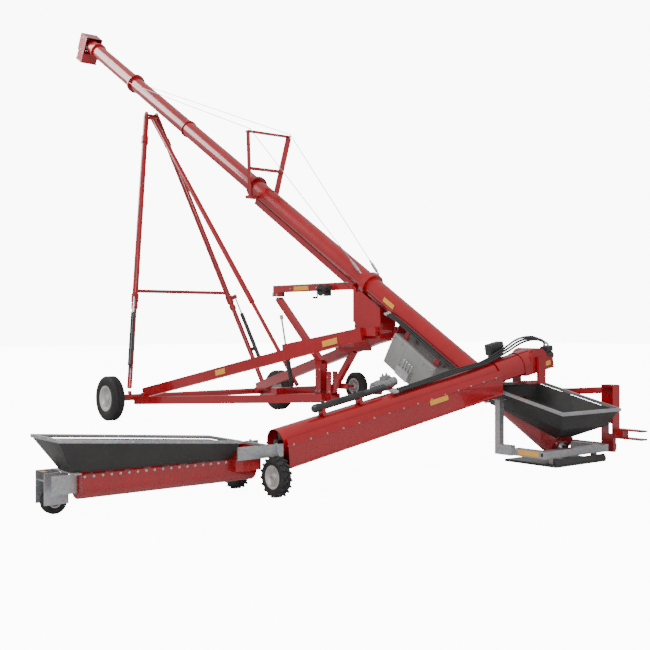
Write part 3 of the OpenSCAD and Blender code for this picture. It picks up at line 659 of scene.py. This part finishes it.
# Intake hopper: a deep moulded tub with steep panels above a funnel that ends
# over the boot. The folded zinc rim is a CAD node.
top_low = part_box("intake_hopper")[0]
throat_low = TO_TUBE @ Vector((-0.320, 0.0, 0.118))
throat_high = TO_TUBE @ Vector((0.460, 0.0, 0.118))


def tub_ring(half, x_low, z_low, x_high, z_high):
    """Four corners of the tub at one level, which slopes with the boot."""
    return [(x_low, -half, z_low), (x_high, -half, z_high), (x_high, half, z_high), (x_low, half, z_low)]


bm = bmesh.new()
add_frame(bm, [
    tub_ring(0.149, throat_low.x, throat_low.z, throat_high.x, throat_high.z),
    tub_ring(0.395, top_low.x + 0.075, 0.395, 0.365, 0.600),
    tub_ring(0.480, top_low.x, 0.550, 0.400, 0.800),
    tub_ring(0.473, top_low.x + 0.007, 0.551, 0.393, 0.801),
    tub_ring(0.388, top_low.x + 0.083, 0.399, 0.357, 0.604),
    tub_ring(
        0.142, throat_low.x + 0.008, throat_low.z + 0.002, throat_high.x - 0.008, throat_high.z + 0.002),
])
soften(bm, [e for e in bm.edges if e.calc_length() > 0.05], 0.003)
intake = settle("intake_tub", bm, poly, "main_auger")
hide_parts("intake_hopper")

# Control box: a black moulded cover over the swing auger's valves, on two
# folded feet beside the hoses.
bm = bmesh.new()
add_block(bm, (0.020, 0.350, 0.175), (0.130, 0.560, 0.300), 0.018, TO_SWING, 3)
add_block(bm, (0.014, 0.344, 0.245), (0.136, 0.566, 0.253), 0.003, TO_SWING)
for along in (0.375, 0.515):
    add_block(bm, (0.035, along, 0.1405), (0.115, along + 0.020, 0.180), 0.002, TO_SWING)
settle("control_box", bm, black, "swing_auger")

# Fold cylinder: a black barrel whose rod runs in a rubber bellows, on red
# saddles, beside a cast alloy motor with two ports.
cast = Finish("cast_alloy", "zinc_steel")
sand = cast.noise(40.0, 4.0)
cast.set(
    Base_Color=cast.blend(sand.between(0.3, 0.7), (0.30, 0.30, 0.31), (0.46, 0.46, 0.47)),
    Metallic=0.9, Roughness=sand * 0.3 + 0.32,
)
cast.bump(sand, 0.0012, 0.4)
bm = bmesh.new()
barrel = [(0.0, 0.0), (0.028, 0.0), (0.034, 0.006), (0.034, 0.54), (0.039, 0.545), (0.039, 0.60),
          (0.030, 0.62), (0.0, 0.62)]
add_turned(bm, barrel, TO_SWING @ facing((-0.040, 2.500, 0.205), (0, 1, 0)), 32)
for along in (2.60, 3.00):
    add_turned(bm, [(0.0, 0.030), (0.014, 0.030), (0.014, 0.052), (0.010, 0.056), (0.0, 0.056)],
               TO_SWING @ facing((-0.040, along, 0.205), (0, 0, 1)), 16)
fold = settle("fold_cylinder_barrel", bm, black, "swing_auger")
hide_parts("fold_cylinder")
bm = bmesh.new()
bellows = [(0.0, 0.0), (0.024, 0.0)]
for k in range(11):
    bellows += [(0.0335, 0.012 + 0.024 * k), (0.0335, 0.018 + 0.024 * k), (0.025, 0.030 + 0.024 * k)]
bellows += [(0.025, 0.289), (0.0, 0.289)]
add_turned(bm, bellows, TO_SWING @ facing((-0.040, 2.210, 0.205), (0, 1, 0)), 28)
gaiter = settle("fold_cylinder_bellows", bm, cover, "swing_auger")
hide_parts("fold_cylinder")
bm = bmesh.new()
motor = [(0.0, 0.0), (0.042, 0.0), (0.046, 0.006), (0.046, 0.050), (0.058, 0.054), (0.058, 0.120),
    (0.052, 0.124),
         (0.052, 0.140), (0.058, 0.144), (0.058, 0.250), (0.050, 0.256), (0.050, 0.300), (0.024, 0.306),
         (0.024, 0.330), (0.0, 0.330)]
add_turned(bm, motor, TO_SWING @ facing((0.090, 1.950, 0.205), (0, 1, 0)), 40)
add_block(bm, (0.060, 2.03, 0.255), (0.120, 2.13, 0.285), 0.004, TO_SWING)
for along in (2.055, 2.105):
    add_turned(bm, [(0.0, 0.0), (0.013, 0.0), (0.013, 0.016), (0.009, 0.018), (0.009, 0.030), (0.0, 0.030)],
               TO_SWING @ facing((0.090, along, 0.283), (0, 0, 1)), 6)
feed_motor = settle("fold_valve_motor", bm, cast, "swing_auger")
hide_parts("fold_cylinder")
bm = bmesh.new()
for along in (2.54, 3.00):
    add_block(bm, (-0.078, along, 0.1265), (-0.002, along + 0.040, 0.190), 0.004, TO_SWING)
for along in (2.02, 2.18):
    add_block(bm, (0.040, along, 0.1265), (0.140, along + 0.040, 0.152), 0.004, TO_SWING)
clevis = settle("fold_cylinder_saddles", bm, red, "swing_auger")
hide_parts("fold_cylinder")

# Screw motor: a black orbital motor bolted to the hood's end plate, with two
# ports in a raised block.
bm = bmesh.new()
orbital = [(0.0, 0.0), (0.040, 0.0), (0.050, 0.010), (0.050, 0.045), (0.058, 0.050), (0.058, 0.075),
           (0.052, 0.079), (0.052, 0.095), (0.058, 0.099), (0.058, 0.125), (0.048, 0.130), (0.048,
               0.150), (0.0, 0.150)]
add_turned(bm, orbital, TO_SWING @ facing((0, -0.395, 0), (0, 1, 0)), 40)
add_block(bm, (-0.070, -0.245, -0.070), (0.070, -0.2405, 0.070), 0.0015, TO_SWING)
add_block(bm, (-0.050, -0.382, 0.050), (0.050, -0.272, 0.109), 0.006, TO_SWING)
screw_motor = settle("screw_motor", bm, black, "swing_auger")
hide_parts("swing_motor")
bm = bmesh.new()
for x in (-0.055, 0.055):
    for z in (-0.055, 0.055):
        add_bolt(bm, TO_SWING @ Vector((x, -0.245, z)), swing_turn @ Vector((0, -1, 0)), 0.012)
for x in (-0.028, 0.028):
    add_turned(bm, [(0.0, 0.0), (0.016, 0.0), (0.016, 0.016), (0.012, 0.019), (0.012, 0.034), (0.0, 0.034)],
               TO_SWING @ facing((x, -0.327, 0.108), (0, 0, 1)), 6)
settle("screw_motor_bolts", bm, plate, "swing_auger")

# Swing cover: an arched red sheet over the tube between the hood and the beam,
# with raised ribs and a row of bolts along the beam's long sides.
bm = bmesh.new()
arch = [(math.cos(math.radians(a)), math.sin(math.radians(a))) for a in range(0, 181, 9)]
outer_arch = [(0.140, -0.075)] + [(0.140 * c, 0.140 * h) for c, h in arch] + [(-0.140, -0.075)]
inner_arch = [(0.136, -0.075)] + [(0.136 * c, 0.136 * h) for c, h in arch] + [(-0.136, -0.075)]
section = outer_arch + inner_arch[::-1]
loops = [[bm.verts.new(TO_SWING @ Vector((x, y, z))) for x, z in section] for y in (0.252, 0.652)]
count = len(section)
for k in range(count):
    bm.faces.new((loops[0][k], loops[0][(k + 1) % count], loops[1][(k + 1) % count], loops[1][k]))
half = len(outer_arch)
for loop in loops:
    for k in range(half - 1):
        bm.faces.new((loop[k], loop[k + 1], loop[count - 2 - k], loop[count - 1 - k]))
settle("swing_cover", bm, red, "swing_auger")
bm = bmesh.new()
for side in (-1, 1):
    for height in (-0.020, -0.215):
        edge = 0.1585 if height > -0.1 else 0.1372
        rib_low = (side * edge - 0.005, 0.645, height - 0.010)
        rib_high = (side * edge + 0.005, 3.550, height + 0.010)
        add_block(bm, rib_low, rib_high, 0.003, TO_SWING)
settle("beam_ribs", bm, red, "swing_auger")
bm = bmesh.new()
for side in (-1, 1):
    for k in range(15):
        spot = TO_SWING @ Vector((side * 0.1622, 0.75 + 0.195 * k, -0.020))
        add_bolt(bm, spot, swing_turn @ Vector((side, 0, 0)), 0.009)
settle("beam_bolts", bm, plate, "swing_auger")

# Centre cylinder: barrel, gland and chromed rod between the cross beam and the
# inclined post.
foot = Vector((4.432, 0.066, 0.597))
gland = Vector((4.590, 0.066, 1.200))
crown = Vector((4.690, 0.066, 1.600))
bm = bmesh.new()
reach = (gland - foot).length
post_outline = [(0.0, 0.0), (0.028, 0.0), (0.032, 0.005), (0.032, reach - 0.06), (0.036, reach - 0.055),
                (0.036, reach - 0.010), (0.028, reach), (0.0, reach)]
add_turned(bm, post_outline, facing(foot, gland - foot), 32)
post_barrel = settle("post_cylinder_barrel", bm, black, "lower_frame")
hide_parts("centre_cylinder")
bm = bmesh.new()
reach = (crown - gland).length
rod_outline = [(0.0, -0.01), (0.014, -0.01), (0.014, reach - 0.04), (0.026, reach - 0.036),
               (0.026, reach + 0.024), (0.0, reach + 0.026)]
add_turned(bm, rod_outline, facing(gland, crown - gland), 28)
post_rod = settle("post_cylinder_rod", bm, chrome, "lower_frame")
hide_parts("centre_cylinder")

# Boom fittings: a galvanised wear rail along the boom's top, a black winch with
# its drum and cranked handle, and zinc bolts at the boom's lugs.
boom_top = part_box("lift_boom")[1].z
bm = bmesh.new()
add_block(bm, (3.200, -0.048, boom_top + 0.001), (4.935, 0.048, boom_top + 0.013), 0.003)
settle("boom_wear_rail", bm, zinc, "main_auger")
bm = bmesh.new()
winch_at = Vector((3.640, 0.0, 1.960))
drum = [(0.0, 0.061), (0.082, 0.061), (0.082, 0.068), (0.040, 0.070), (0.040, 0.166), (0.082, 0.168),
        (0.082, 0.175), (0.020, 0.177), (0.020, 0.240), (0.0, 0.240)]
add_turned(bm, drum, facing(winch_at, (0, 1, 0)), 32)
add_block(bm, (3.560, 0.0465, 1.880), (3.720, 0.0600, 2.030), 0.004)
add_block(bm, (3.632, 0.226, 1.845), (3.648, 0.240, 1.972), 0.004)
add_turned(bm, [(0.0, 0.238), (0.010, 0.238), (0.014, 0.246), (0.015, 0.300), (0.010, 0.311), (0.0, 0.311)],
           facing((3.640, 0.0, 1.855), (0, 1, 0)), 20)
winch_piece = settle("boom_winch", bm, black, "main_auger")
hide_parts("winch")
bm = bmesh.new()
for side in (-1, 1):
    for along in (4.81, 4.90):
        add_bolt(bm, (along, side * 0.0601, 1.925), (0, side, 0), 0.014)
for along in (3.90, 4.50):
    add_bolt(bm, (along, 0.0451, 2.005), (0, 1, 0), 0.011)
settle("boom_bolts", bm, plate, "main_auger")

# Tower plate bolts: zinc bolts through the two pairs of upright red plates at
# the front of the lower frame.
bm = bmesh.new()
tower_holes = ((3.800, 0.560), (3.880, 0.560), (3.800, 0.860), (3.880, 0.860), (3.580, 0.560), (3.620, 0.760))
for side in (-1, 1):
    for x, z in tower_holes:
        add_bolt(bm, (x, side * 0.0621, z), (0, side, 0), 0.013)
settle("tower_bolts", bm, plate, "lower_frame")

# Reflector strips: plain amber plastic with a fine prism pattern, stuck flat on
# the steelwork where the machine needs to be seen on the road.
amber = Finish("amber_reflector", None)
prisms = amber.cells(260.0)
fade = amber.noise(5.0, 3.0)
amber_tone = amber.blend(fade, (0.80, 0.33, 0.0), (0.90, 0.42, 0.002))
amber.set(
    Base_Color=amber.blend(0.06, amber_tone, prisms), Roughness=fade * 0.15 + 0.2, Coat_Weight=0.6,
)


def strip(name, body, middle, along, out, length, width):
    """A thin strip centred at a point, with its face looking out."""
    along = Vector(along).normalized()
    out = Vector(out).normalized()
    across = out.cross(along).normalized()
    out = along.cross(across).normalized()
    place = Matrix((
        (along.x, across.x, out.x, middle[0]), (along.y, across.y, out.y, middle[1]),
        (along.z, across.z, out.z, middle[2]), (0, 0, 0, 1)))
    bm = bmesh.new()
    add_block(bm, (-length / 2, -width / 2, 0.0), (length / 2, width / 2, 0.0025), 0.001, place, 1)
    piece = bpy.data.meshes.new(name)
    bmesh.ops.recalc_face_normals(bm, faces=bm.faces)
    bm.to_mesh(piece)
    bm.free()
    piece.materials.append(amber.material)
    holder = bpy.data.objects.new(name, piece)
    scene.collection.objects.link(holder)
    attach(holder, body)


swing_side = swing_turn @ Vector((-1, 0, 0))
swing_along = swing_turn @ Vector((0, 1, 0))
beam_spot = TO_SWING @ Vector((-0.1585, 1.62, -0.055))
strip("beam_reflector", "swing_auger", beam_spot, swing_along, swing_side, 0.26, 0.055)
strip("boom_reflector", "main_auger", (4.250, 0.0452, 2.005), (1, 0, 0), (0, 1, 0), 0.34, 0.060)
tube_spot = TO_TUBE @ Vector((2.72, 0.1275, 0.03))
strip("tube_reflector", "main_auger", tube_spot, main_axis, (0, 1, 0.1), 0.22, 0.060)
arm_from = Vector((2.700, 0.225, 1.360))
arm_to = Vector((6.920, 1.090, 0.415))
arm_run = (arm_to - arm_from).normalized()
arm_out = Vector((0, 1, 0)) - arm_run * arm_run.y
for name, share, proud, length in (("arm_reflector", 0.60, 0.0405, 0.20),
    ("arm_front_reflector", 0.12, 0.0485, 0.26)):
    arm_spot = arm_from.lerp(arm_to, share) + arm_out.normalized() * proud
    strip(name, "lower_frame", arm_spot, arm_run, arm_out, length, 0.080)
strip("skid_reflector", "main_auger", (-0.290, 0.5203, 0.130), (1, 0, 0), (0, 1, 0), 0.300, 0.050)
hood_spot = TO_SWING @ Vector((-0.1483, -0.110, -0.045))
strip("hood_reflector", "swing_auger", hood_spot, swing_along, swing_side, 0.150, 0.050)
strip("mover_reflector", "mover", (0.3460, 5.5985, 0.3400), (1, 0, 0), (0, 0, 1), 0.100, 0.040)
